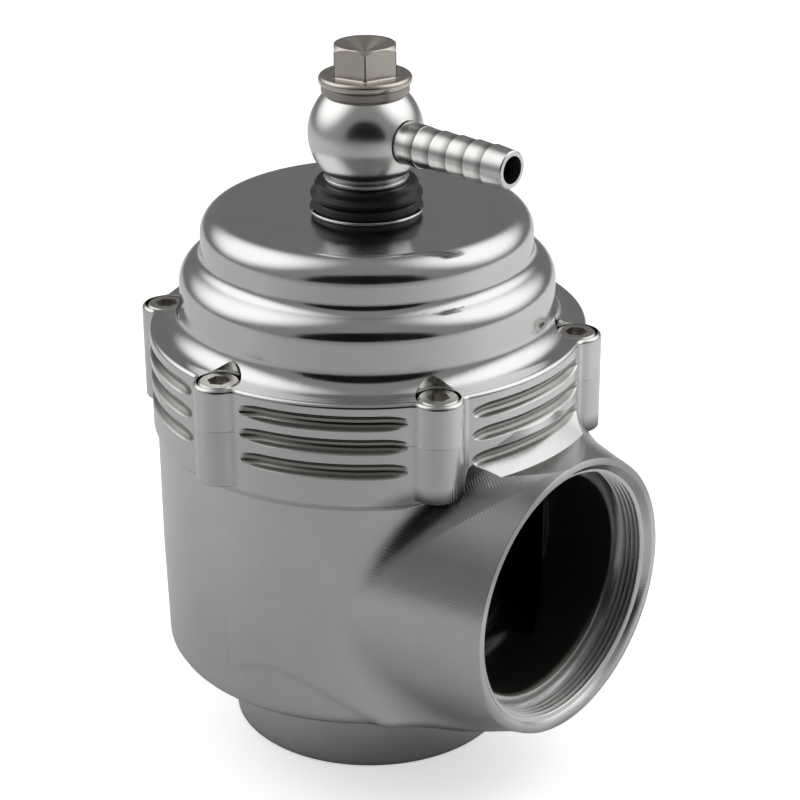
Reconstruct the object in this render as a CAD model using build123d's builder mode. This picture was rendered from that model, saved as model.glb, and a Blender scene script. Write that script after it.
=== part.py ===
from build123d import *
import os
from math import cos, sin, tan, radians

# Blow off valve. Millimetres, Z up along the valve's axis, origin at the centre
# of the inlet spigot's lower face, outlet along +X.

# Heights along the valve's axis
spigot_top = 16.3
seat_z = 20.0
outlet_z = 38.47
joint_z = 71.3
cap_flange_h = 7.7
tier2_h = 8.3
step_h = 5.9
tier1_h = 7.08
flange_top = joint_z + cap_flange_h
tier2_top = flange_top + tier2_h
tier1_foot = tier2_top + step_h
cap_top = tier1_foot + tier1_h

# Fits, all radial
slide_fit = 0.03
swivel_fit = 0.05
locating_fit = 0.1
thread_fit = 0.05

# Two radii nearer than this are the same edge
same_radius = 0.01

# Valve body, outside
spigot_r = 26.08
spigot_edge = 0.4
spigot_cove = 0.8
body_r = 38.7
foot_taper = 0.4
foot_taper_h = 18.0
foot_step = 0.9
foot_h = 1.5
foot_round = 0.5
foot_boss_gap = 4.5
ledge = 0.2
taper_r = body_r - foot_taper
foot_r = taper_r - foot_step
foot_z = spigot_top + foot_h
taper_z = foot_z + foot_taper_h

# Outlet boss: a slow cone that ends in the threaded mouth
boss_inset = 13.3
boss_reach = 8.7
boss_root = 10.0
boss_slope = 0.25
boss_blend = 10.5
undercut_reach = 1.8
undercut_h = 2.1
undercut_edge = 0.3
mouth_edge = 1.2
mouth_l = 1.2
thread_wall = 2.4
thread_l = 4.3
relief_depth = 0.2
relief_l = 1.0
outlet_wall = 4.8
boss_r = body_r - boss_inset
boss_end = body_r + boss_reach
mouth_r = boss_r - mouth_edge
thread_r = boss_r - thread_wall
outlet_bore_r = boss_r - outlet_wall
thread_out_x = boss_end - mouth_l
thread_in_x = thread_out_x - thread_l
shoulder_x = thread_in_x - relief_l

# Finned flange, half on the body and half on the cap
flange_lip = 0.7
flange_edge = 0.8
lobe_r = 4.5
lobe_blend = 1.5
lobe_h = 10.4
lobe_edge = 0.4
rim_h = 10.8
rim_rise = 1.3
rim_round = 1.0
screw_inset = 1.56
screw_count = 6
screw_angle = 30.0
flange_r = body_r + flange_lip
screw_circle_r = flange_r - screw_inset
lobe_foot = joint_z - lobe_h
rim_full = joint_z - rim_h

# Cooling grooves, as one rounded V cutter leaves them
groove_low_h = 4.45
groove_mid_h = 0.1
groove_high_h = 4.35
groove_depth = 1.3
groove_tip_r = 1.2
groove_flank_angle = 30.0
cutter_half_h = 3.0
cutter_r = 10.0
cutter_reach_angle = 15.3
groove_floor_r = flange_r - groove_depth
groove_heights = (joint_z - groove_low_h, joint_z + groove_mid_h, joint_z + groove_high_h)

# Body, inside
inlet_r = 22.5
wall_t = 6.2
recess_step = 2.3
recess_h = 4.8
chamber_r = body_r - wall_t
recess_r = chamber_r + recess_step
recess_z = joint_z - recess_h

# Cap
tier2_inset = 5.0
tier1_inset = 4.02
tier1_round = 4.25
step_convex_r = 4.15
step_concave_r = 2.2
step_slope_angle = 21.5
flange_cove = 3.7
cap_wall_t = 4.2
shoulder_t = 3.3
crown_t = 4.78
crown_round = 2.0
port_boss_r = 11.0
port_boss_h = 5.5
port_face_r = 9.95
port_face_depth = 0.6
port_edge = 0.15
tier2_r = body_r - tier2_inset
tier1_r = tier2_r - tier1_inset
cavity_r = tier2_r - cap_wall_t
cavity_top = tier2_top - shoulder_t
crown_r = tier1_r - cap_wall_t
crown_z = cap_top - crown_t
port_boss_z = crown_z - port_boss_h
port_floor = cap_top - port_face_depth

# Cap screws, M4
m4_r = 2.0
m4_length = 10.0
m4_head_r = 3.5
m4_head_h = 4.0
m4_head_edge = 0.3
m4_hex = 3.5
m4_hex_depth = 2.0
m4_head_gap = 0.35
m4_shank_gap = 0.2
tap_extra = 1.2
m4_head_foot = flange_top - m4_head_h
m4_foot = m4_head_foot - m4_length

# Guide plate
plate_rim_h = 2.5
cup_depth = 8.0
cup_wall = 2.0
cup_round = 2.5
cup_round_in = 1.5
hub_r = 8.0
hub_h = 14.5
hub_blend = 1.0
bush_r = 6.0
bush_inset = 1.0
stem_seal_r = 6.5
stem_seal_h = 2.0
stem_seal_edge = 0.4
seal_pocket_h = 2.5
plate_rim_r = recess_r - locating_fit
plate_rim_top = recess_z + plate_rim_h
cup_r = chamber_r - locating_fit
cup_in_r = cup_r - cup_wall
cup_foot = recess_z - cup_depth
cup_floor = cup_foot + cup_wall
hub_foot = cup_foot - hub_h
bush_top = cup_floor - seal_pocket_h

# Valve head and its seal
head_gap = 0.3
head_overlap = 2.5
head_rim_h = 2.7
head_hub_h = 2.0
head_hub_r = 11.0
head_cone_r = 17.0
head_edge = 1.0
head_blend = 3.0
seal_inset = 0.4
seal_w = 1.5
seal_h = 1.8
head_r = inlet_r + head_overlap
head_foot = seat_z + head_gap
head_shoulder = head_foot + head_rim_h
head_top = head_shoulder + head_hub_h
seal_in_r = inlet_r + seal_inset
seal_out_r = seal_in_r + seal_w

# Stem, nuts and washers
stem_r = 4.0
stem_end_r = 3.0
stem_lead = 0.5
stem_tail = 1.2
nut_h = 4.0
nut_across = 10.0
small_washer_r = 7.0
small_washer_h = 1.0
stem_hole_r = stem_end_r + thread_fit
valve_nut_top = head_foot - small_washer_h
valve_nut_foot = valve_nut_top - nut_h

# Diaphragm between its two plates
plate_gap = 0.8
plate_t = 1.5
plate_round = 0.7
diaphragm_t = 1.0
bead_w = 3.2
bead_overlap = 1.0
roll_w = 7.5
roll_foot_w = 2.2
roll_crest_w = 4.2
roll_drop = 1.4
web_drop = 0.9
roll_bend_r = 1.8
bead_in_r = plate_rim_r - bead_w
plate_r = bead_in_r - roll_w
plate_z = cup_floor + plate_gap
diaphragm_z = plate_z + plate_t
upper_plate_z = diaphragm_z + diaphragm_t
washer_z = upper_plate_z + plate_t
stem_nut_z = washer_z + small_washer_h

# Spring
spring_r = 17.0
wire_r = 1.4
spring_turns = 4.5
spring_seat_gap = 0.6
spring_seat_w = 2.0
spring_seat_h = 2.0
spring_seat_r = spring_r - wire_r - spring_seat_gap

# Adapter in the cap, and the ring under its flange
ring_section_r = 1.4
collar_r = 9.95
collar_flange_h = 0.7
collar_slope_h = 0.8
collar_head_h = 1.32
collar_head_r = 9.2
collar_edge = 0.2
collar_head_edge = 0.4
collar_neck_r = 7.0
collar_thread_r = 6.58
collar_lead = 0.6
collar_bore_r = 2.5
collar_foot = port_floor + 2 * ring_section_r
collar_rim = collar_foot + collar_flange_h
collar_shoulder = collar_rim + collar_slope_h
collar_top = collar_shoulder + collar_head_h

# Banjo ball between two washers
lower_washer_r = 7.5
upper_washer_r = 7.75
washer_round = 0.2
washer_gap = 0.35
lower_washer_h = 0.8
upper_washer_h = 1.4
ball_r = 10.2
ball_below = 7.7
ball_above = 7.4
gallery_r = 5.5
gallery_half_h = 3.0
ball_foot = collar_top + lower_washer_h
ball_z = ball_foot + ball_below
ball_top = ball_z + ball_above

# Banjo bolt
bolt_r = 3.95
bolt_thread_l = 10.3
bolt_lead = 0.6
bolt_bore_r = 2.2
bolt_bore_h = 3.3
bolt_port_r = 1.8
bolt_flange_r = 8.17
bolt_flange_h = 1.7
bolt_flange_edge = 0.7
hex_across = 10.75
hex_h = 5.4
hex_foot_blend = 0.45
hex_bevel_r = 5.25
hex_bevel_h = 0.8
hex_turn_angle = 12.2
dish_r = 4.5
dish_tip_r = 0.2
dish_depth = 1.6
washer_bore_r = bolt_r + washer_gap
bolt_thread_foot = collar_top - bolt_thread_l
bolt_flange_foot = ball_top + upper_washer_h
hex_foot = bolt_flange_foot + bolt_flange_h
hex_top = hex_foot + hex_h

# Hose barb
press_r = 3.0
barb_shank_r = 3.75
pocket_gap = 0.15
pocket_depth = 1.4
barb_root_gap = 0.3
barb_shank_l = 4.8
barb_r = 3.65
barb_waist_r = 3.38
barb_pitch = 3.77
barb_count = 5
barb_tip_l = 4.02
barb_tip_r = 3.28
barb_bore_r = 2.4
barb_edge = 0.2
pocket_r = barb_shank_r + pocket_gap
pocket_floor = ball_r - pocket_depth
barb_root = gallery_r + barb_root_gap
barb_x = pocket_floor + barb_shank_l
barb_end = barb_x + (barb_count - 1) * barb_pitch + barb_tip_l

outlet_axis = Axis((0, 0, outlet_z), (1, 0, 0))
ball_axis = Axis((0, 0, ball_z), (1, 0, 0))

os.makedirs("parts", exist_ok=True)


def radial_plane(angle):
    """Upright plane through the valve's axis, its first direction outward at the angle."""
    a = radians(angle)
    return Plane(origin=(0, 0, 0), x_dir=(cos(a), sin(a), 0), z_dir=(sin(a), -cos(a), 0))


def post(radius, bottom, top, mode=Mode.ADD):
    """Upright cylinder between two heights."""
    with Locations((0, 0, bottom)):
        Cylinder(radius, top - bottom, align=(Align.CENTER, Align.CENTER, Align.MIN), mode=mode)


def pipe(radius, bore, bottom, top):
    """Upright ring between two heights."""
    post(radius, bottom, top)
    post(bore, bottom, top, Mode.SUBTRACT)


def bar(radius, start, end, height, mode=Mode.ADD):
    """Cylinder along X between two places, at a height on the valve's axis."""
    with Locations(Location((start, 0, height), (0, 90, 0))):
        Cylinder(radius, end - start, align=(Align.CENTER, Align.CENTER, Align.MIN), mode=mode)


def round_edges(piece, radius):
    """The piece's circular edges of one radius."""
    circles = piece.edges().filter_by(GeomType.CIRCLE)
    return circles.filter_by(lambda e: abs(e.radius - radius) < same_radius)


def keep(piece, name):
    piece.part.label = name
    export_step(piece.part, f"parts/{name}.step")


# The flange's outline: a disc with a lobe at each screw, blended in
with BuildSketch() as flange_outline:
    Circle(flange_r)
    with PolarLocations(screw_circle_r, screw_count, start_angle=screw_angle):
        Circle(lobe_r)
    # The disc's own seam lies on the X axis and stays sharp
    fillet([v for v in flange_outline.vertices() if abs(v.Y) > lobe_blend], lobe_blend)

# The groove cutter: a disc with a rounded V rim, plunged at each end of a span
# and run round between the two
flank = radians(groove_flank_angle)
tip_r = groove_floor_r + groove_tip_r * (1 - sin(flank))
tip_half = groove_tip_r * cos(flank)
flank_r = tip_r + (cutter_half_h - tip_half) / tan(flank)
cutter_axis_r = groove_floor_r + cutter_r


def cutter_axis(angle):
    return Axis((cutter_axis_r * cos(radians(angle)), cutter_axis_r * sin(radians(angle)), 0), (0, 0, 1))


cutter_moves = (
    (-cutter_reach_angle, cutter_axis(-cutter_reach_angle), 360),
    (-cutter_reach_angle, Axis.Z, 2 * cutter_reach_angle),
    (cutter_reach_angle, cutter_axis(cutter_reach_angle), 360),
)

with BuildPart() as groove_cutter:
    for z in groove_heights:
        for angle, turn_axis, turn in cutter_moves:
            with BuildSketch(radial_plane(angle)):
                with BuildLine():
                    tip = ThreePointArc((tip_r, z + tip_half), (groove_floor_r, z), (tip_r, z - tip_half))
                    Polyline(
                        tip @ 1,
                        (flank_r, z - cutter_half_h),
                        (cutter_axis_r, z - cutter_half_h),
                        (cutter_axis_r, z + cutter_half_h),
                        (flank_r, z + cutter_half_h),
                        tip @ 0,
                    )
                make_face()
            revolve(axis=turn_axis, revolution_arc=turn)

# Valve body
blank_top = joint_z + 2 * boss_blend
boss_root_r = boss_r + boss_slope * (boss_end - boss_root)

with BuildPart() as foot_bevel:
    # What is turned off the foot of the wall, except where the outlet boss stands
    with BuildSketch(Plane.XZ):
        with BuildLine():
            Polyline(
                (body_r, taper_z),
                (taper_r, foot_z),
                (foot_r, spigot_top),
                (spigot_r + spigot_cove, spigot_top),
                (spigot_r + spigot_cove, 0),
                (boss_end, 0),
                (boss_end, taper_z),
                close=True,
            )
        make_face()
        fillet(vertices().sort_by_distance((taper_r, foot_z))[0], foot_round)
        fillet(vertices().sort_by_distance((foot_r, spigot_top))[0], foot_round)
    revolve(axis=Axis.Z)
    with BuildSketch(Plane.XZ):
        with BuildLine():
            Polyline(
                (0, outlet_z),
                (boss_end, outlet_z),
                (boss_end, outlet_z + boss_r + foot_boss_gap),
                (0, outlet_z + boss_r + foot_boss_gap + boss_slope * boss_end),
                close=True,
            )
        make_face()
    revolve(axis=outlet_axis, mode=Mode.SUBTRACT)

with BuildPart() as valve_body:
    post(body_r, 0, blank_top)
    with BuildSketch(Plane.XZ):
        with BuildLine():
            Polyline(
                (boss_root, outlet_z),
                (boss_end, outlet_z),
                (boss_end, outlet_z + boss_r),
                (boss_root, outlet_z + boss_root_r),
                close=True,
            )
        make_face()
    revolve(axis=outlet_axis)
    seam = valve_body.edges().filter_by(lambda e: e.geom_type not in (GeomType.CIRCLE, GeomType.LINE))
    fillet(seam, boss_blend)
    post(boss_end + boss_blend, joint_z, blank_top, Mode.SUBTRACT)

    # Foot of the wall, then the underside and the spigot, turned clear of the boss
    add(foot_bevel.part, mode=Mode.SUBTRACT)
    with BuildSketch(Plane.XZ):
        with BuildLine():
            cove = JernArc((spigot_r, spigot_top - spigot_cove), (0, 1), spigot_cove, -90)
            Polyline(
                cove @ 1,
                (body_r - ledge, spigot_top),
                (body_r + undercut_reach, spigot_top - undercut_h),
                (boss_end, outlet_z - boss_r + undercut_edge),
                (boss_end, 0),
                (spigot_r - spigot_edge, 0),
                (spigot_r, spigot_edge),
                cove @ 0,
            )
        make_face()
    revolve(axis=Axis.Z, mode=Mode.SUBTRACT)

    # Rim that grows out of the wall, and the lobed flange on it
    with BuildSketch(Plane.XZ):
        with BuildLine():
            Polyline(
                (body_r - rim_rise, rim_full - rim_rise),
                (body_r, rim_full - rim_rise),
                (flange_r, rim_full),
                (flange_r, joint_z),
                (body_r - rim_rise, joint_z),
                close=True,
            )
        make_face()
        fillet(vertices().sort_by_distance((flange_r, rim_full))[0], rim_round)
    revolve(axis=Axis.Z)

with BuildPart() as body_flange:
    with BuildSketch(Plane.XY.offset(lobe_foot)):
        add(flange_outline.sketch)
    extrude(amount=joint_z - lobe_foot)
    fillet(body_flange.edges().group_by(Axis.Z)[0], lobe_edge)

with valve_body:
    add(body_flange.part)
    with PolarLocations(0, screw_count):
        add(groove_cutter.part, mode=Mode.SUBTRACT)

    # Bores; the outlet's starts clear of the valve seat
    post(inlet_r, 0, seat_z, Mode.SUBTRACT)
    post(chamber_r, seat_z, joint_z, Mode.SUBTRACT)
    post(recess_r, recess_z, joint_z, Mode.SUBTRACT)
    bar(outlet_bore_r, chamber_r - wall_t, shoulder_x, outlet_z, Mode.SUBTRACT)
    bar(thread_r + relief_depth, shoulder_x, thread_in_x, outlet_z, Mode.SUBTRACT)
    bar(thread_r, thread_in_x, boss_end, outlet_z, Mode.SUBTRACT)
    with BuildSketch(Plane.XZ):
        with BuildLine():
            Polyline(
                (thread_out_x, outlet_z + thread_r),
                (boss_end, outlet_z + mouth_r),
                (boss_end, outlet_z),
                (thread_out_x, outlet_z),
                close=True,
            )
        make_face()
    revolve(axis=outlet_axis, mode=Mode.SUBTRACT)
    with PolarLocations(screw_circle_r, screw_count, start_angle=screw_angle):
        post(m4_r + thread_fit, m4_foot - tap_extra, joint_z, Mode.SUBTRACT)
keep(valve_body, "valve_body")

# Cap
with BuildPart() as cap_flange:
    with BuildSketch(Plane.XY.offset(joint_z)):
        add(flange_outline.sketch)
    extrude(amount=flange_top - joint_z)
    fillet(cap_flange.edges().group_by(Axis.Z)[-1], flange_edge)

step_angle = 90 - step_slope_angle
crown_wall = cap_top - tier1_round
with BuildPart() as cap:
    add(cap_flange.part)
    with BuildSketch(Plane.XZ):
        with BuildLine():
            cove = CenterArc((tier2_r + flange_cove, flange_top + flange_cove), flange_cove, 180, 90)
            Line(cove @ 0, (tier2_r, tier2_top))
            shoulder = CenterArc((tier2_r - step_convex_r, tier2_top), step_convex_r, 0, step_angle)
            throat = CenterArc((tier1_r + step_concave_r, tier1_foot), step_concave_r, 180, step_angle)
            Line(shoulder @ 1, throat @ 1)
            Line(throat @ 0, (tier1_r, crown_wall))
            crown = CenterArc((tier1_r - tier1_round, crown_wall), tier1_round, 0, 90)
            Polyline(
                crown @ 1,
                (0, cap_top),
                (0, flange_top - flange_edge),
                (tier2_r + flange_cove, flange_top - flange_edge),
                cove @ 1,
            )
        make_face()
    revolve(axis=Axis.Z)
    with PolarLocations(0, screw_count):
        add(groove_cutter.part, mode=Mode.SUBTRACT)

    # Screw holes, sunk through the cove
    with PolarLocations(screw_circle_r, screw_count, start_angle=screw_angle):
        post(m4_head_r + m4_head_gap, m4_head_foot, flange_top + 2 * flange_cove, Mode.SUBTRACT)
        post(m4_r + m4_shank_gap, joint_z, flange_top, Mode.SUBTRACT)

    # Cavity for the spring, with a boss for the adapter's thread
    with BuildSketch(Plane.XZ):
        with BuildLine():
            Polyline(
                (0, joint_z),
                (cavity_r, joint_z),
                (cavity_r, cavity_top),
                (crown_r, cavity_top + cavity_r - crown_r),
                (crown_r, crown_z),
                (port_boss_r, crown_z),
                (port_boss_r, port_boss_z),
                (0, port_boss_z),
                close=True,
            )
        make_face()
        fillet(vertices().sort_by_distance((crown_r, crown_z))[0], crown_round)
    revolve(axis=Axis.Z, mode=Mode.SUBTRACT)

    # Port in the top
    post(collar_thread_r + thread_fit, port_boss_z, cap_top, Mode.SUBTRACT)
    post(port_face_r, port_floor, cap_top, Mode.SUBTRACT)
    chamfer(round_edges(cap, port_face_r).sort_by(Axis.Z)[-1], port_edge)
keep(cap, "cap")

with BuildPart() as cap_screws:
    with PolarLocations(screw_circle_r, screw_count, start_angle=screw_angle):
        post(m4_head_r, m4_head_foot, flange_top)
    chamfer(cap_screws.edges().group_by(Axis.Z)[-1], m4_head_edge)
    with PolarLocations(screw_circle_r, screw_count, start_angle=screw_angle):
        post(m4_r, m4_foot, m4_head_foot)
    with BuildSketch(Plane.XY.offset(flange_top)):
        with PolarLocations(screw_circle_r, screw_count, start_angle=screw_angle):
            RegularPolygon(m4_hex / 2, 6, major_radius=False)
    extrude(amount=-m4_hex_depth, mode=Mode.SUBTRACT)
keep(cap_screws, "cap_screws")

# Guide plate: a cup under the diaphragm with a hub for the stem
with BuildPart() as guide_plate:
    with BuildSketch(Plane.XZ):
        with BuildLine():
            Polyline(
                (0, cup_foot),
                (cup_r, cup_foot),
                (cup_r, recess_z),
                (plate_rim_r, recess_z),
                (plate_rim_r, plate_rim_top),
                (cup_in_r, plate_rim_top),
                (cup_in_r, cup_floor),
                (0, cup_floor),
                close=True,
            )
        make_face()
        fillet(vertices().sort_by_distance((cup_r, cup_foot))[0], cup_round)
        fillet(vertices().sort_by_distance((cup_in_r, cup_floor))[0], cup_round_in)
    revolve(axis=Axis.Z)
    post(hub_r, hub_foot, cup_foot)
    fillet(round_edges(guide_plate, hub_r), hub_blend)
    post(bush_r, hub_foot, bush_top, Mode.SUBTRACT)
    post(stem_seal_r, bush_top, cup_floor, Mode.SUBTRACT)
keep(guide_plate, "guide_plate")

with BuildPart() as guide_bush:
    pipe(bush_r, stem_r + slide_fit, hub_foot + bush_inset, bush_top)
keep(guide_bush, "guide_bush")

with BuildPart() as stem_seal:
    pipe(stem_seal_r, stem_r + slide_fit, bush_top, bush_top + stem_seal_h)
    chamfer(stem_seal.edges().group_by(Axis.Z)[-1], stem_seal_edge)
keep(stem_seal, "stem_seal")

# Valve: the stem, the head on its lower end and the plates on its upper end
with BuildPart() as stem:
    post(stem_end_r, valve_nut_foot - stem_tail, stem_nut_z + nut_h + stem_tail)
    post(stem_r, head_top, plate_z)
    chamfer(stem.edges().group_by(Axis.Z)[0], stem_lead)
    chamfer(stem.edges().group_by(Axis.Z)[-1], stem_lead)
keep(stem, "stem")

with BuildPart() as valve_head:
    with BuildSketch(Plane.XZ):
        with BuildLine():
            Polyline(
                (stem_hole_r, head_foot),
                (head_r, head_foot),
                (head_r, head_shoulder),
                (head_cone_r, head_shoulder),
                (head_hub_r, head_top),
                (stem_hole_r, head_top),
                close=True,
            )
        make_face()
        fillet(vertices().sort_by_distance((head_r, head_shoulder))[0], head_edge)
        fillet(vertices().sort_by_distance((head_cone_r, head_shoulder))[0], head_blend)
    revolve(axis=Axis.Z)
    with BuildSketch(Plane.XY.offset(head_foot)):
        Circle(seal_out_r)
        Circle(seal_in_r, mode=Mode.SUBTRACT)
    extrude(amount=seat_z + seal_h - head_foot, mode=Mode.SUBTRACT)
keep(valve_head, "valve_head")

with BuildPart() as valve_seal:
    pipe(seal_out_r, seal_in_r, seat_z, seat_z + seal_h)
keep(valve_seal, "valve_seal")

with BuildPart() as valve_washer:
    pipe(small_washer_r, stem_hole_r, valve_nut_top, head_foot)
keep(valve_washer, "valve_washer")

with BuildPart() as valve_nut:
    with BuildSketch(Plane.XY.offset(valve_nut_foot)):
        RegularPolygon(nut_across / 2, 6, major_radius=False)
        Circle(stem_hole_r, mode=Mode.SUBTRACT)
    extrude(amount=nut_h)
keep(valve_nut, "valve_nut")

with BuildPart() as lower_plate:
    pipe(plate_r, stem_hole_r, plate_z, diaphragm_z)
    fillet(lower_plate.edges().group_by(Axis.Z)[-1].sort_by(SortBy.RADIUS)[-1], plate_round)
keep(lower_plate, "lower_plate")

# Diaphragm: a disc, a deep roll round the plates and a bead under the cap
disc_mid = diaphragm_z + diaphragm_t / 2
with BuildPart() as diaphragm:
    with BuildSketch(Plane.XZ):
        with BuildLine():
            roll = Polyline(
                (stem_hole_r, disc_mid),
                (plate_r + roll_foot_w, disc_mid),
                (plate_r + roll_crest_w, joint_z - roll_drop),
                (bead_in_r + bead_overlap, joint_z - web_drop),
            )
            fillet(roll.vertices().sort_by(Axis.X)[1:3], roll_bend_r)
        trace(line_width=diaphragm_t)
        with Locations(((bead_in_r + plate_rim_r) / 2, (plate_rim_top + joint_z) / 2)):
            Rectangle(bead_w, joint_z - plate_rim_top)
    revolve(axis=Axis.Z)
    post(stem_hole_r, plate_z, joint_z, Mode.SUBTRACT)
keep(diaphragm, "diaphragm")

with BuildPart() as upper_plate:
    post(plate_r, upper_plate_z, washer_z)
    fillet(upper_plate.edges().group_by(Axis.Z)[0], plate_round)
    pipe(spring_seat_r, spring_seat_r - spring_seat_w, washer_z, washer_z + spring_seat_h)
    post(stem_hole_r, upper_plate_z, washer_z, Mode.SUBTRACT)
keep(upper_plate, "upper_plate")

with BuildPart() as stem_washer:
    pipe(small_washer_r, stem_hole_r, washer_z, stem_nut_z)
keep(stem_washer, "stem_washer")

with BuildPart() as stem_nut:
    with BuildSketch(Plane.XY.offset(stem_nut_z)):
        RegularPolygon(nut_across / 2, 6, major_radius=False)
        Circle(stem_hole_r, mode=Mode.SUBTRACT)
    extrude(amount=nut_h)
keep(stem_nut, "stem_nut")

# Spring, its ends ground flat on the plate and on the cap's ceiling
spring_h = crown_z - washer_z
with BuildPart() as spring:
    with BuildLine(Plane.XY.offset(washer_z)):
        coil = Helix(spring_h / spring_turns, spring_h, spring_r)
    with BuildSketch(Plane(coil @ 0, x_dir=(1, 0, 0), z_dir=coil % 0)):
        Circle(wire_r)
    sweep(is_frenet=True)
    post(spring_r + 2 * wire_r, washer_z - 2 * wire_r, washer_z, Mode.SUBTRACT)
    post(spring_r + 2 * wire_r, crown_z, crown_z + 2 * wire_r, Mode.SUBTRACT)
keep(spring, "spring")

# Banjo fitting on the cap
with BuildPart() as collar_seal:
    with BuildSketch(Plane.XZ):
        with Locations((collar_neck_r + ring_section_r, port_floor + ring_section_r)):
            Circle(ring_section_r)
    revolve(axis=Axis.Z)
keep(collar_seal, "collar_seal")

with BuildPart() as collar:
    with BuildSketch(Plane.XZ):
        with BuildLine():
            Polyline(
                (0, port_boss_z),
                (collar_thread_r - collar_lead, port_boss_z),
                (collar_thread_r, port_boss_z + collar_lead),
                (collar_thread_r, port_floor),
                (collar_neck_r, port_floor),
                (collar_neck_r, collar_foot),
                (collar_r - collar_edge, collar_foot),
                (collar_r, collar_foot + collar_edge),
                (collar_r, collar_rim),
                (collar_head_r, collar_shoulder),
                (collar_head_r, collar_top - collar_head_edge),
                (collar_head_r - collar_head_edge, collar_top),
                (0, collar_top),
                close=True,
            )
        make_face()
    revolve(axis=Axis.Z)
    post(bolt_r + thread_fit, bolt_thread_foot - tap_extra, collar_top, Mode.SUBTRACT)
    post(collar_bore_r, port_boss_z, collar_top, Mode.SUBTRACT)
keep(collar, "collar")

with BuildPart() as lower_washer:
    pipe(lower_washer_r, washer_bore_r, collar_top, ball_foot)
    fillet(round_edges(lower_washer, lower_washer_r), washer_round)
keep(lower_washer, "lower_washer")

with BuildPart() as banjo_ball:
    with Locations((0, 0, ball_z)):
        Sphere(ball_r)
    post(ball_r, ball_foot, ball_top, Mode.INTERSECT)
    post(bolt_r + swivel_fit, ball_foot, ball_top, Mode.SUBTRACT)
    post(gallery_r, ball_z - gallery_half_h, ball_z + gallery_half_h, Mode.SUBTRACT)
    bar(press_r, bolt_r, ball_r, ball_z, Mode.SUBTRACT)
    bar(pocket_r, pocket_floor, ball_r, ball_z, Mode.SUBTRACT)
keep(banjo_ball, "banjo_ball")

# Hose barb: a tube pressed in the ball, its cones stepped towards the ball
with BuildPart() as hose_barb:
    with BuildSketch(Plane.XZ):
        with BuildLine():
            shank = Polyline(
                (barb_root, ball_z),
                (barb_root, ball_z + press_r),
                (pocket_floor, ball_z + press_r),
                (pocket_floor, ball_z + barb_shank_r),
                (barb_x, ball_z + barb_shank_r),
                (barb_x, ball_z + barb_r),
            )
            cone_start = shank @ 1
            for n in range(1, barb_count):
                step = Polyline(
                    cone_start,
                    (barb_x + n * barb_pitch, ball_z + barb_waist_r),
                    (barb_x + n * barb_pitch, ball_z + barb_r),
                )
                cone_start = step @ 1
            Polyline(
                cone_start,
                (barb_end - barb_edge, ball_z + barb_tip_r),
                (barb_end, ball_z + barb_tip_r - barb_edge),
                (barb_end, ball_z),
                (barb_root, ball_z),
            )
        make_face()
    revolve(axis=ball_axis)
    bar(barb_bore_r, barb_root, barb_end, ball_z, Mode.SUBTRACT)
keep(hose_barb, "hose_barb")

with BuildPart() as upper_washer:
    pipe(upper_washer_r, washer_bore_r, ball_top, bolt_flange_foot)
    fillet(round_edges(upper_washer, upper_washer_r), washer_round)
keep(upper_washer, "upper_washer")

with BuildPart() as banjo_bolt:
    with BuildSketch(Plane.XY.offset(hex_foot)):
        RegularPolygon(hex_across / 2, 6, major_radius=False, rotation=hex_turn_angle)
    extrude(amount=hex_h)
    with BuildSketch(Plane.XZ):
        bevel_rise = hex_bevel_h / (hex_across / 3 ** 0.5 - hex_bevel_r)
        with BuildLine():
            Polyline(
                (0, hex_top),
                (hex_bevel_r, hex_top),
                (hex_across, hex_top - bevel_rise * (hex_across - hex_bevel_r)),
                (hex_across, hex_foot),
                (0, hex_foot),
                close=True,
            )
        make_face()
    revolve(axis=Axis.Z, mode=Mode.INTERSECT)
    with Locations((0, 0, hex_top)):
        dish_align = (Align.CENTER, Align.CENTER, Align.MAX)
        Cone(dish_tip_r, dish_r, dish_depth, align=dish_align, mode=Mode.SUBTRACT)
    post(bolt_flange_r, bolt_flange_foot, hex_foot)
    fillet(round_edges(banjo_bolt, bolt_flange_r), bolt_flange_edge)
    hex_foot_edges = banjo_bolt.edges().filter_by(GeomType.LINE).filter_by_position(Axis.Z, hex_foot, hex_foot)
    fillet(hex_foot_edges, hex_foot_blend)
    post(bolt_r, bolt_thread_foot, bolt_flange_foot)
    chamfer(banjo_bolt.edges().group_by(Axis.Z)[0], bolt_lead)
    post(bolt_bore_r, bolt_thread_foot, ball_z + bolt_bore_h, Mode.SUBTRACT)
    bar(bolt_port_r, -bolt_r, bolt_r, ball_z, Mode.SUBTRACT)
keep(banjo_bolt, "banjo_bolt")
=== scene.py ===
from math import cos, pi, radians, sin

import bpy
from mathutils import Matrix, Vector


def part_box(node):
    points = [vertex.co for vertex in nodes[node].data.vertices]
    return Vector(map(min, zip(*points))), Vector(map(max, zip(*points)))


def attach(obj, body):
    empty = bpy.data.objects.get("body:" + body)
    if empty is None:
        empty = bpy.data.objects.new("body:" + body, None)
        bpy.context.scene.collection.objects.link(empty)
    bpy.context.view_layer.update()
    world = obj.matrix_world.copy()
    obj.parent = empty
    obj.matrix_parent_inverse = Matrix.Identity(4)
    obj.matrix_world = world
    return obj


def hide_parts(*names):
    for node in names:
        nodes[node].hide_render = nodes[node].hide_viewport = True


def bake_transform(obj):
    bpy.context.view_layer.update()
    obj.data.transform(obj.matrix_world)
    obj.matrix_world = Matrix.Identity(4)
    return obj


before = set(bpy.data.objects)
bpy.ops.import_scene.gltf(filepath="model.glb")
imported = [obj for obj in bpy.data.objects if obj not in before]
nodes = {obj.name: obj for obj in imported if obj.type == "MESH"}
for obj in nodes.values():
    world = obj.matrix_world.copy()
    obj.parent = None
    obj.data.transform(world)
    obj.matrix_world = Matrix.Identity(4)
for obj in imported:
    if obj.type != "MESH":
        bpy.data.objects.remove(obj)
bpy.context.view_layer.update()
mm = 0.001

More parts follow.
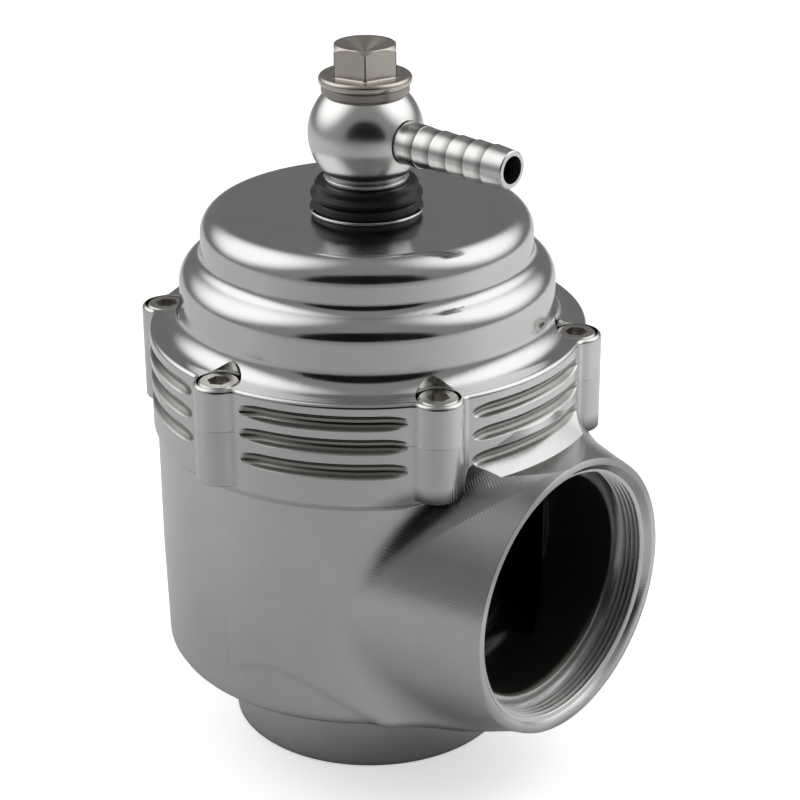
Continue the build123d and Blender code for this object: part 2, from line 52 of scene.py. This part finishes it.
# Where the valve's main features are. Its axis is Z, and the outlet's runs along X.
outlet_z = 38.47 * mm
boss_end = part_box("valve_body")[1].x
joint_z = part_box("cap")[0].z
cap_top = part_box("cap")[1].z
ball_z = (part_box("banjo_ball")[0].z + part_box("banjo_ball")[1].z) / 2
barb_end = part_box("hose_barb")[1].x
bolt_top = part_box("banjo_bolt")[1].z
valve_axis = (0, 0, 1)
outlet_axis = (1, 0, 0)


# Nodes and colours

def linear(hex_colour):
    """sRGB hex to the linear colour that a shader takes."""
    channels = [int(hex_colour[i:i + 2], 16) / 255 for i in (1, 3, 5)]
    return tuple(c / 12.92 if c <= 0.04045 else ((c + 0.055) / 1.055) ** 2.4 for c in channels) + (1.0,)


def node(tree, kind, inputs=None, **settings):
    """Adds a node. inputs maps a socket's name or number to a value, to another node's output or to
    that node, whose first output in use is then taken."""
    new = tree.nodes.new(kind)
    for name, value in settings.items():
        setattr(new, name, value)
    for key, value in (inputs or {}).items():
        if isinstance(value, bpy.types.Node):
            value = next(output for output in value.outputs if output.enabled)
        if isinstance(value, bpy.types.NodeSocket):
            tree.links.new(value, new.inputs[key])
        else:
            new.inputs[key].default_value = value
    return new


def new_material(name):
    material = bpy.data.materials.new(name)
    material.use_nodes = True
    material.node_tree.nodes.clear()
    return material, material.node_tree


def finish_material(material, surface):
    node(material.node_tree, "ShaderNodeOutputMaterial", {"Surface": surface})
    return material


def multiplied(tree, *factors):
    """The factors' product. Of masks, it is 1 where every one of them is 1."""
    product = factors[0]
    for factor in factors[1:]:
        product = node(tree, "ShaderNodeMath", {0: product, 1: factor}, operation="MULTIPLY")
    return product


def deselect():
    bpy.ops.object.select_all(action="DESELECT")


# Camera, at the photograph's angle

camera_heading = radians(41.34)
camera_pitch = radians(-24.14)
camera_roll = radians(-0.31)
camera_place = Vector((256.4, -282.8, 233.5)) * mm
camera_data = bpy.data.cameras.new("camera")
camera_data.sensor_width = 36.0
camera_data.lens = 102.4
camera_data.clip_start = 0.01
camera = bpy.data.objects.new("camera", camera_data)
bpy.context.scene.collection.objects.link(camera)
camera.matrix_world = (
    Matrix.Translation(camera_place)
    @ Matrix.Rotation(camera_heading, 4, "Z")
    @ Matrix.Rotation(pi / 2 + camera_pitch, 4, "X")
    @ Matrix.Rotation(camera_roll, 4, "Z")
)
bpy.context.scene.camera = camera

bpy.context.scene.view_settings.view_transform = "Standard"


# World: white to the camera, to mirrors and through glass, a dim light otherwise

def seen_or_mirrored(tree, path):
    return node(tree, "ShaderNodeMath", {0: path.outputs["Is Camera Ray"], 1: path.outputs["Is Glossy Ray"]},
                operation="MAXIMUM")


world = bpy.data.worlds.new("studio")
bpy.context.scene.world = world
world.use_nodes = True
tree = world.node_tree
tree.nodes.clear()
path = node(tree, "ShaderNodeLightPath")
shows_white = node(tree, "ShaderNodeMath", {
    0: seen_or_mirrored(tree, path), 1: path.outputs["Is Transmission Ray"]}, operation="MAXIMUM")
dim = node(tree, "ShaderNodeBackground", {"Color": (1, 1, 1, 1), "Strength": 0.35})
white = node(tree, "ShaderNodeBackground", {"Color": (1, 1, 1, 1), "Strength": 1.0})
backdrop = node(tree, "ShaderNodeMixShader", {0: shows_white, 1: dim, 2: white})
node(tree, "ShaderNodeOutputWorld", {"Surface": backdrop})


# Studio: pale floor, grey card and grey light tent, two lamps

def stage_piece(name, material, camera_sees=True):
    """Stages the piece just added, in one material."""
    piece = bpy.context.object
    piece.name = name
    piece.data.materials.clear()
    piece.data.materials.append(material)
    piece.visible_camera = camera_sees
    return piece


def only_in_mirrors(piece):
    piece.visible_diffuse = piece.visible_shadow = piece.visible_transmission = False


def direction(azimuth, elevation):
    """Unit vector towards a place round the valve, from its angles in degrees."""
    a, e = radians(azimuth), radians(elevation)
    return Vector((cos(a) * cos(e), sin(a) * cos(e), sin(e)))


def share_towards(tree, way):
    """The cosine of the angle between a point's direction from the valve and the way given."""
    place = node(tree, "ShaderNodeTexCoord").outputs["Object"]
    unit = node(tree, "ShaderNodeVectorMath", {0: place}, operation="NORMALIZE")
    return node(tree, "ShaderNodeVectorMath", {0: unit, 1: way}, operation="DOT_PRODUCT")


camera_azimuth = -48.7
lamp_turn = 105
lamp_elevation = 42
to_camera = direction(camera_azimuth, 0)
to_right = direction(camera_azimuth + 90, 0)
lamp_ways = {"left": direction(camera_azimuth - lamp_turn, lamp_elevation),
             "right": direction(camera_azimuth + lamp_turn, lamp_elevation)}

# Floor: pale paper. Seen directly it is as white as the background, with the shadow kept.
material, tree = new_material("white_paper")
paper = node(tree, "ShaderNodeBsdfDiffuse", {"Color": linear("#F2F2F2")})
glow = node(tree, "ShaderNodeEmission", {"Color": (1, 1, 1, 1), "Strength": 0.55})
lit = node(tree, "ShaderNodeAddShader", {0: paper, 1: glow})
seen = seen_or_mirrored(tree, node(tree, "ShaderNodeLightPath"))
finish_material(material, node(tree, "ShaderNodeMixShader", {0: seen, 1: paper, 2: lit}))
deselect()
bpy.ops.mesh.primitive_plane_add(size=6, location=(0, 0, -0.2 * mm))
stage_piece("floor", material)

# Grey card on the floor round the valve, which the metal mirrors in place of the paper: in the
# camera's shade in front, lighter to the sides and most of all on the right
material, tree = new_material("grey_card")
shade = node(tree, "ShaderNodeMapRange", {
    "Value": share_towards(tree, to_camera),
    "From Min": 1.0, "From Max": 0.3, "To Min": 0.55, "To Max": 0.78})
grade = node(tree, "ShaderNodeMapRange", {
    "Value": share_towards(tree, to_right),
    "From Min": -1.0, "From Max": 1.0, "To Min": 0.88, "To Max": 1.25})
finish_material(material, node(tree, "ShaderNodeBsdfDiffuse", {"Color": multiplied(tree, shade, grade)}))
deselect()
bpy.ops.mesh.primitive_plane_add(size=4, location=(0, 0, -0.1 * mm))
only_in_mirrors(stage_piece("grey_card", material, camera_sees=False))

# Light tent: grey cloth all round, glowing where the lamps stand behind it, with the dark
# opening that the camera looks through
material, tree = new_material("tent_cloth")
front = share_towards(tree, to_camera)
cloth = node(tree, "ShaderNodeMapRange", {
    "Value": front, "From Min": -0.9, "From Max": 0.1, "To Min": 0.2, "To Max": 0.28})
opening = node(tree, "ShaderNodeMapRange", {
    "Value": front, "From Min": 0.72, "From Max": 0.79, "To Min": 1.0, "To Max": 0.03})
level = multiplied(tree, cloth, opening)
for way in lamp_ways.values():
    lamp_glow = node(tree, "ShaderNodeMapRange", {
        "Value": share_towards(tree, way),
        "From Min": 0.72, "From Max": 0.985, "To Min": 0.0, "To Max": 1.25}, interpolation_type="SMOOTHSTEP")
    level = node(tree, "ShaderNodeMath", {0: level, 1: lamp_glow}, operation="ADD")
finish_material(material, node(tree, "ShaderNodeEmission", {"Color": (1, 1, 1, 1), "Strength": level}))
deselect()
bpy.ops.mesh.primitive_uv_sphere_add(segments=64, ring_count=32, radius=1.9, location=(0, 0, 0))
only_in_mirrors(stage_piece("light_tent", material, camera_sees=False))

# Soft boxes that face the valve. The metal mirrors the tent's cloth in their place.
lamp_aim = Vector((0, 0, 80 * mm))
lamp_distance = 0.8
lamp_width = 0.75
lamp_height = 0.55
lamp_level = 2.2
for side, way in lamp_ways.items():
    lamp = bpy.data.lights.new(side + "_box", "AREA")
    lamp.shape = "RECTANGLE"
    lamp.size, lamp.size_y = lamp_width, lamp_height
    lamp.energy = lamp_level * pi * lamp_width * lamp_height
    box = bpy.data.objects.new(side + "_box", lamp)
    bpy.context.scene.collection.objects.link(box)
    box.location = lamp_aim + lamp_distance * way
    box.rotation_euler = way.to_track_quat("Z", "Y").to_euler()
    box.visible_glossy = False


# Materials, given to the model's parts. Lengths passed to these functions are in mm.

def gloss_patches(tree, place, roughness, spread, patch):
    """Roughness that wanders a little round its value in patches, and the cloud behind it."""
    cloud = node(tree, "ShaderNodeTexNoise", {"Vector": place, "Scale": 1 / (patch * mm), "Detail": 3.0})
    gloss = node(tree, "ShaderNodeMapRange", {
        "Value": cloud, "From Min": 0.3, "From Max": 0.7,
        "To Min": roughness - spread, "To Max": roughness + spread})
    return cloud, gloss


def lathe_lines(tree, place, axis, centre, pitch):
    """Tool rings round an axis. A real finishing cut feeds about 0.1 mm; the rings are drawn
    coarser, so that they show at all at this size."""
    centre = [c * mm for c in centre]
    offset = node(tree, "ShaderNodeVectorMath", {0: place, 1: centre}, operation="SUBTRACT")
    along = node(tree, "ShaderNodeVectorMath", {0: offset, 1: axis}, operation="DOT_PRODUCT")
    arm = node(tree, "ShaderNodeVectorMath", {0: offset, 1: axis}, operation="CROSS_PRODUCT")
    across = node(tree, "ShaderNodeVectorMath", {0: arm}, operation="LENGTH")
    profile = node(tree, "ShaderNodeCombineXYZ", {0: across, 1: along})
    return node(tree, "ShaderNodeTexNoise", {
        "Vector": profile, "Scale": 1 / (pitch * mm), "Detail": 2.0}, noise_dimensions="2D")


def mottled_finish(name, shade, dull_shade, roughness, spread, patch, relief, depth, metallic=1.0,
                   specular=0.5):
    """A finish whose tone and gloss are a little uneven, with the relief that a function gives it."""
    material, tree = new_material(name)
    place = node(tree, "ShaderNodeTexCoord").outputs["Object"]
    cloud, gloss = gloss_patches(tree, place, roughness, spread, patch)
    tone = node(tree, "ShaderNodeMix", {0: cloud, 6: linear(dull_shade), 7: linear(shade)}, data_type="RGBA")
    bump = node(tree, "ShaderNodeBump", {
        "Height": relief(tree, place), "Strength": 1.0, "Distance": depth * mm})
    return finish_material(material, node(tree, "ShaderNodeBsdfPrincipled", {
        "Base Color": tone, "Metallic": metallic, "Roughness": gloss, "Specular IOR Level": specular,
        "Normal": bump}))


def turned_metal(name, shade, dull_shade, roughness, axis=valve_axis, centre=(0, 0, 0), pitch=0.5,
                 depth=0.004, spread=0.04, patch=6.0):
    """Bare metal off a lathe."""
    return mottled_finish(name, shade, dull_shade, roughness, spread, patch,
                          lambda tree, place: lathe_lines(tree, place, axis, centre, pitch), depth)


def paint_shade(material, mask, shade):
    """Paints shade into the colour: takes it towards another shade where the mask is 1."""
    tree = material.node_tree
    shader = tree.nodes["Principled BSDF"]
    unshaded = shader.inputs["Base Color"].links[0].from_socket
    mixed = node(tree, "ShaderNodeMix", {0: mask, 6: unshaded, 7: linear(shade)}, data_type="RGBA")
    tree.links.new(mixed.outputs[2], shader.inputs["Base Color"])


def measures(tree):
    """Where a point of the surface is: its place, its x, y and z, and its distance from the valve's axis."""
    place = node(tree, "ShaderNodeTexCoord").outputs["Object"]
    x, y, z = node(tree, "ShaderNodeSeparateXYZ", {0: place}).outputs
    flat = node(tree, "ShaderNodeVectorMath", {0: place, 1: (1, 1, 0)}, operation="MULTIPLY")
    from_axis = node(tree, "ShaderNodeVectorMath", {0: flat}, operation="LENGTH")
    return {"place": place, "x": x, "y": y, "z": z, "from_axis": from_axis}


def paint_groove_shade(material):
    """The flange's grooves, cut by a form tool, are painted darker than its face, as shade in them."""
    face_r, groove_r, groove_floor_r = 39.3 * mm, 39.0 * mm, 37.6 * mm
    flange_half_height = 7 * mm
    tree = material.node_tree
    at = measures(tree)
    below_face = node(tree, "ShaderNodeMapRange", {
        "Value": at["from_axis"], "From Min": face_r, "From Max": groove_r})
    above_floor = node(tree, "ShaderNodeMath", {0: at["from_axis"], 1: groove_floor_r},
                       operation="GREATER_THAN")
    on_flange = node(tree, "ShaderNodeMath", {0: at["z"], 1: joint_z, 2: flange_half_height},
                     operation="COMPARE")
    paint_shade(material, multiplied(tree, below_face, above_floor, on_flange), "#94948F")


def cutter_marks(tree, angle, radius, pitch, drift, wobble=5.0):
    """Wave across an angle, whose steps at a radius have the pitch given, pushed about by the drift."""
    count = node(tree, "ShaderNodeMath", {0: angle, 1: 2 * pi * radius / pitch}, operation="MULTIPLY")
    shifted = node(tree, "ShaderNodeMath", {0: drift, 1: wobble, 2: count}, operation="MULTIPLY_ADD")
    return node(tree, "ShaderNodeMath", {0: shifted}, operation="SINE")


# Body: bare aluminium bar, light grey and satin. The wall is turned, the outlet boss milled along
# its length with a ball cutter in faint passes 0.6 mm apart. In the hollow under the flange the
# cutter chattered: uneven notches 0.5 mm apart, which run across its way.
material, tree = new_material("milled_aluminium")
place, x, y, z, from_axis = measures(tree).values()
cloud, gloss = gloss_patches(tree, place, roughness=0.25, spread=0.03, patch=7.0)
tone = node(tree, "ShaderNodeMix", {0: cloud, 6: linear("#C6C7C6"), 7: linear("#D2D3D2")}, data_type="RGBA")

rise = node(tree, "ShaderNodeMath", {0: z, 1: outlet_z}, operation="SUBTRACT")
arm = node(tree, "ShaderNodeCombineXYZ", {1: y, 2: rise})
from_outlet = node(tree, "ShaderNodeVectorMath", {0: arm}, operation="LENGTH")
around_boss = node(tree, "ShaderNodeMath", {0: y, 1: rise}, operation="ARCTAN2")
around_valve = node(tree, "ShaderNodeMath", {0: y, 1: x}, operation="ARCTAN2")
# The boss narrows outwards. This sum is 37.25 mm on its cone, and more in the blend to the wall.
cone_taper = 0.25
above_cone = node(tree, "ShaderNodeMath", {0: x, 1: cone_taper, 2: from_outlet}, operation="MULTIPLY_ADD")
# Masks: what each reads, and the millimetres at which it leaves 0 and reaches 1
masks = {}
for name, value, start, full in (
    ("beyond_wall", from_axis, 38.9, 39.6),
    ("near_wall", from_axis, 47, 43),
    ("outlet_side", x, 20, 26),
    ("over_hollow_foot", z, 55.5, 58.5),
    ("under_hollow_top", z, 64.5, 63),
    ("near_cone", above_cone, 43.5, 41.5),
    ("upper_boss", z, 43, 52),
    ("under_flange", z, 64, 61.5),
    ("in_outlet_bore", from_outlet, 21.0, 20.8),
    ("towards_mouth", x, 20, 21),
):
    masks[name] = node(tree, "ShaderNodeMapRange", {
        "Value": value, "From Min": start * mm, "From Max": full * mm})
on_boss = multiplied(tree, masks["beyond_wall"], masks["outlet_side"])

# Edges are filed to 0.2 mm, and rounded by hand where the wall's foot runs into the boss
softness = node(tree, "ShaderNodeMapRange", {
    "Value": z, "From Min": 24 * mm, "From Max": 32 * mm, "To Min": 2.2 * mm, "To Max": 0.2 * mm})
filed = node(tree, "ShaderNodeBevel", {"Radius": softness}, samples=8)
rings = lathe_lines(tree, place, valve_axis, centre=(0, 0, 0), pitch=0.5)
turned = node(tree, "ShaderNodeBump", {
    "Height": rings, "Strength": 1.0, "Distance": 0.003 * mm, "Normal": filed})

drift = node(tree, "ShaderNodeTexNoise", {"Vector": place, "Scale": 1 / (3 * mm), "Detail": 2.0})
uneven = node(tree, "ShaderNodeMapRange", {
    "Value": drift, "From Min": 0.35, "From Max": 0.65, "To Min": 0.1, "To Max": 1.0})
off_cone = node(tree, "ShaderNodeMapRange", {
    "Value": above_cone, "From Min": 37.1 * mm, "From Max": 37.9 * mm, "To Min": 0.15, "To Max": 1.0})
notches = multiplied(
    tree, cutter_marks(tree, around_valve, radius=42, pitch=0.5, drift=drift),
    masks["over_hollow_foot"], masks["under_hollow_top"], masks["near_wall"], masks["near_cone"], off_cone,
    uneven)
faintness = 0.07
passes = multiplied(tree, cutter_marks(tree, around_boss, radius=27, pitch=0.6, drift=drift), faintness)
marks = node(tree, "ShaderNodeMath", {0: notches, 1: passes}, operation="ADD")
milled = node(tree, "ShaderNodeBump", {
    "Height": multiplied(tree, marks, on_boss), "Strength": 1.0, "Distance": 0.022 * mm, "Normal": turned})

# The bores are dull, and painted nearly black as shade: the outlet's, and round the valve's axis
# the inlet's below the seat and the chamber's above it
in_outlet = multiplied(tree, masks["in_outlet_bore"], masks["towards_mouth"])
bore_r = node(tree, "ShaderNodeMapRange", {
    "Value": z, "From Min": 19 * mm, "From Max": 19.9 * mm, "To Min": 22.8 * mm, "To Max": 33.2 * mm})
in_chamber = node(tree, "ShaderNodeMath", {0: from_axis, 1: bore_r}, operation="LESS_THAN")
inside = node(tree, "ShaderNodeMath", {0: in_outlet, 1: in_chamber}, operation="MAXIMUM")
gloss = node(tree, "ShaderNodeMapRange", {"Value": inside, "To Min": gloss, "To Max": 0.45})

body_metal = finish_material(material, node(tree, "ShaderNodeBsdfPrincipled", {
    "Base Color": tone, "Metallic": 1.0, "Roughness": gloss, "Normal": milled}))
# Painted shade inside the bores
paint_shade(body_metal, inside, "#605F5B")
# Painted shade: the boss's upper side is darker grey where the flange shades it, most of all in the hollow
in_blend = node(tree, "ShaderNodeMapRange", {
    "Value": above_cone, "From Min": 37.3 * mm, "From Max": 38.3 * mm, "To Min": 0.5, "To Max": 1.0})
darker = multiplied(tree, in_blend, masks["under_flange"], masks["upper_boss"], masks["near_cone"], on_boss)
paint_shade(body_metal, darker, "#5E6062")
paint_groove_shade(body_metal)

# Cap: aluminium turned in one go and left bright, its tool rings just visible
cap_metal = turned_metal("turned_aluminium", "#D4D5D4", "#CACBCA", 0.15, pitch=0.6)
paint_groove_shade(cap_metal)

# Outlet's thread: aluminium cut with a single point, its flanks a little torn and dull
thread_metal = turned_metal("thread_cut_aluminium", "#E2E2E0", "#D9D9D7", 0.42, axis=outlet_axis,
                            centre=(0, 0, outlet_z / mm), pitch=0.4)

# Fitting: fine-turned aluminium, brighter than the valve
ball_metal = turned_metal("fine_turned_aluminium", "#DEDEDC", "#D4D4D2", 0.22, pitch=0.4, depth=0.005)
barb_metal = turned_metal("turned_barb_aluminium", "#DEDEDC", "#D2D2D0", 0.24, axis=outlet_axis,
                          centre=(0, 0, ball_z / mm), pitch=0.4, depth=0.006)

# Each of the barb's cones gets painted shade where it runs down to the next step, which leaves its crest
# brightest
barb_pitch = 3.77 * mm
barb_cones = 4
first_crest = barb_end - 19.1 * mm
tree = barb_metal.node_tree
offset = node(tree, "ShaderNodeMath", {0: measures(tree)["x"], 1: first_crest}, operation="SUBTRACT")
cones = node(tree, "ShaderNodeMath", {0: offset, 1: barb_pitch}, operation="DIVIDE")
share = node(tree, "ShaderNodeMath", {0: cones}, operation="FRACT")
waist_shade = node(tree, "ShaderNodeMapRange", {"Value": share, "From Min": 0.5, "From Max": 0.98})
before_tip = node(tree, "ShaderNodeMath", {0: cones, 1: barb_cones}, operation="LESS_THAN")
# Painted shade in each cone's waist
paint_shade(barb_metal, multiplied(tree, waist_shade, before_tip), "#7E7C78")

# Banjo bolt: drawn stainless bar, a little warm in tone, with painted dark reflections, nearly black lines,
# along the corners of its hexagon
bolt_steel = turned_metal("drawn_stainless", "#C9C3BA", "#BDB6AC", 0.24, pitch=0.4, depth=0.003, spread=0.05,
                          patch=2.0)
tree = bolt_steel.node_tree
at = measures(tree)
corner = node(tree, "ShaderNodeMapRange", {
    "Value": at["from_axis"], "From Min": 6.12 * mm, "From Max": 6.16 * mm})
hexagon = node(tree, "ShaderNodeMapRange", {
    "Value": at["z"], "From Min": bolt_top - 5.4 * mm, "From Max": bolt_top - 5.2 * mm})
# Painted dark reflection on the hexagon's corners
paint_shade(bolt_steel, multiplied(tree, corner, hexagon), "#3A3733")

# Stem, nuts and their washers: turned stainless steel, a warm grey with a soft shine
plain_steel = turned_metal("turned_stainless", "#C6C2BC", "#BBB7B1", 0.25)

# Socket head screws: polished stainless
screw_steel = turned_metal("polished_stainless", "#CFCCC6", "#C2BFB9", 0.28, depth=0.002, patch=1.5)

# Sealing washers: soft aluminium, nipped flat; the upper one, under the bolt's flange, is painted darker in
# the bolt's tone, as shade
washer_metal = turned_metal("soft_aluminium", "#E0E0DF", "#D4D4D3", 0.22, pitch=0.3)
shaded_washer = turned_metal("shaded_aluminium", "#A8A49D", "#9A968F", 0.35, pitch=0.3)

# Parts inside: aluminium as it comes off the lathe, duller than the outside
plain_metal = turned_metal("lathe_aluminium", "#C6C7C7", "#B9BABA", 0.32, depth=0.006)

# Guide bush: bearing bronze, turned and then browned by air
bronze = turned_metal("bearing_bronze", "#B08A55", "#8E6A3E", 0.3)

# Collar: aluminium anodised black, satin, with the lathe's rings showing through
collar_black = mottled_finish(
    "black_anodised", "#151613", "#0B0C0A", 0.34, 0.05, 2.0,
    lambda tree, place: lathe_lines(tree, place, valve_axis, centre=(0, 0, 0), pitch=0.4), 0.006,
    metallic=0.0, specular=0.3)

# Seals and diaphragm: moulded nitrile rubber, near black, dull, with a fine grain, which is drawn
# coarser than the real 0.1 mm so that it shows
rubber_grain = 0.25 * mm
rubber = mottled_finish(
    "nitrile_rubber", "#191919", "#0E0E0E", 0.5, 0.08, 1.5,
    lambda tree, place: node(tree, "ShaderNodeTexNoise", {
        "Vector": place, "Scale": 1 / rubber_grain, "Detail": 2.0}), 0.01, metallic=0.0)

# Spring: drawn music wire, blued grey, oil on it, with the die's fine marks drawn coarse enough to show
wire_grain = 0.3 * mm
wire_steel = mottled_finish(
    "spring_steel", "#7B7D80", "#5E6165", 0.35, 0.08, 3.0,
    lambda tree, place: node(tree, "ShaderNodeTexNoise", {
        "Vector": place, "Scale": 1 / wire_grain, "Detail": 2.0}), 0.004)

finishes = {
    "valve_body": body_metal, "cap": cap_metal,
    "banjo_ball": ball_metal, "hose_barb": barb_metal, "banjo_bolt": bolt_steel,
    "lower_washer": washer_metal, "upper_washer": shaded_washer,
    "collar": collar_black, "collar_seal": rubber,
    "cap_screws": screw_steel,
    "guide_plate": plain_metal, "valve_head": plain_metal,
    "lower_plate": plain_metal, "upper_plate": plain_metal,
    "guide_bush": bronze,
    "stem": plain_steel, "stem_nut": plain_steel, "stem_washer": plain_steel,
    "valve_nut": plain_steel, "valve_washer": plain_steel,
    "stem_seal": rubber, "valve_seal": rubber,
}
for name, finish in finishes.items():
    mesh = nodes[name].data
    mesh.materials.clear()
    mesh.materials.append(finish)


# Spring and diaphragm, which on the real valve change shape as it lifts; here plain copies of their nodes

smooth_angle = radians(35)


def soft_copy(node_name, name, finish):
    """The node's own shape as a smooth-shaded piece in the finish given, in place of the node, which is
    hidden.
    """
    piece = bpy.data.objects.new(name, nodes[node_name].data.copy())
    bpy.context.scene.collection.objects.link(piece)
    deselect()
    piece.select_set(True)
    bpy.context.view_layer.objects.active = piece
    bpy.ops.object.mode_set(mode="EDIT")
    bpy.ops.mesh.select_all(action="SELECT")
    bpy.ops.mesh.remove_doubles(threshold=0.001 * mm)
    bpy.ops.object.mode_set(mode="OBJECT")
    bpy.ops.object.shade_smooth_by_angle(angle=smooth_angle)
    piece.data.materials.clear()
    piece.data.materials.append(finish)
    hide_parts(node_name)
    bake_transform(piece)


soft_copy("spring", "return_spring", wire_steel)
soft_copy("diaphragm", "rolling_diaphragm", rubber)


# Thread in the outlet's mouth: one ridge wound round the bore, its root sunk in the wall

thread_pitch = 1.0 * mm
thread_start_x = boss_end - 0.15 * mm
thread_end_x = boss_end - 6.35 * mm
thread_turns = (thread_start_x - thread_end_x) / thread_pitch - 1
thread_root_r = 23.3 * mm
thread_crest_r = 22.45 * mm
mouth_x = boss_end - 1.2 * mm
mouth_foot_r = 23.0 * mm
crest_proud = 0.3 * mm
root_sunk = 0.1 * mm
steps_per_turn = 160
deselect()
bpy.ops.mesh.primitive_plane_add(size=1, location=(0, 0, 0))
thread = bpy.context.object
thread.name = "outlet_thread"
bpy.ops.object.mode_set(mode="EDIT")
bpy.ops.mesh.delete(type="ONLY_FACE")
bpy.ops.object.mode_set(mode="OBJECT")
# The plane's four corners become the ridge's cross-section: two at the root, two at the crest
section = ((0, thread_root_r), (1, thread_root_r), (0.42, thread_crest_r), (0.58, thread_crest_r))
for vertex, (share, radius) in zip(thread.data.vertices, section):
    vertex.co = (thread_start_x - share * thread_pitch, 0, radius)
winding = thread.modifiers.new("winding", "SCREW")
winding.axis = "X"
winding.angle = 2 * pi * thread_turns
winding.screw_offset = -thread_pitch * thread_turns
winding.steps = winding.render_steps = round(steps_per_turn * thread_turns)
bpy.ops.object.modifier_apply(modifier="winding")
bpy.ops.object.mode_set(mode="EDIT")
bpy.ops.mesh.select_all(action="DESELECT")
bpy.ops.mesh.select_non_manifold()
bpy.ops.mesh.fill_holes(sides=4)
bpy.ops.mesh.select_all(action="SELECT")
bpy.ops.mesh.normals_make_consistent(inside=False)
bpy.ops.object.mode_set(mode="OBJECT")
bpy.ops.object.shade_smooth_by_angle(angle=smooth_angle)
# Where the mouth widens, at 45 degrees, the ridge keeps to its slope and stands a little proud of it.
# The mouth's narrow end tells root from crest.
for vertex in thread.data.vertices:
    x, y, z = vertex.co
    radius = (y * y + z * z) ** 0.5
    slope_r = mouth_foot_r + x - mouth_x
    least_r = slope_r + root_sunk if radius > mouth_foot_r else slope_r - crest_proud
    stretch = max(radius, least_r) / radius
    vertex.co = (x, y * stretch, z * stretch)
# The ridge is wound round the X axis, so in its mesh it goes up to the outlet's height
thread.data.transform(Matrix.Translation((0, 0, outlet_z)))
thread.data.materials.append(thread_metal)
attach(thread, "housing")


# Cap's edge round the collar's seat, broken with a fine bright bead

deselect()
bpy.ops.mesh.primitive_torus_add(major_segments=160, minor_segments=16, major_radius=10.15 * mm,
                                 minor_radius=0.22 * mm, location=(0, 0, 0))
bead = bpy.context.object
bead.name = "collar_seat_edge"
bead.data.transform(Matrix.Translation((0, 0, cap_top)))
bpy.ops.object.shade_smooth_by_angle(angle=smooth_angle)
bead.data.materials.append(cap_metal)
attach(bead, "housing")
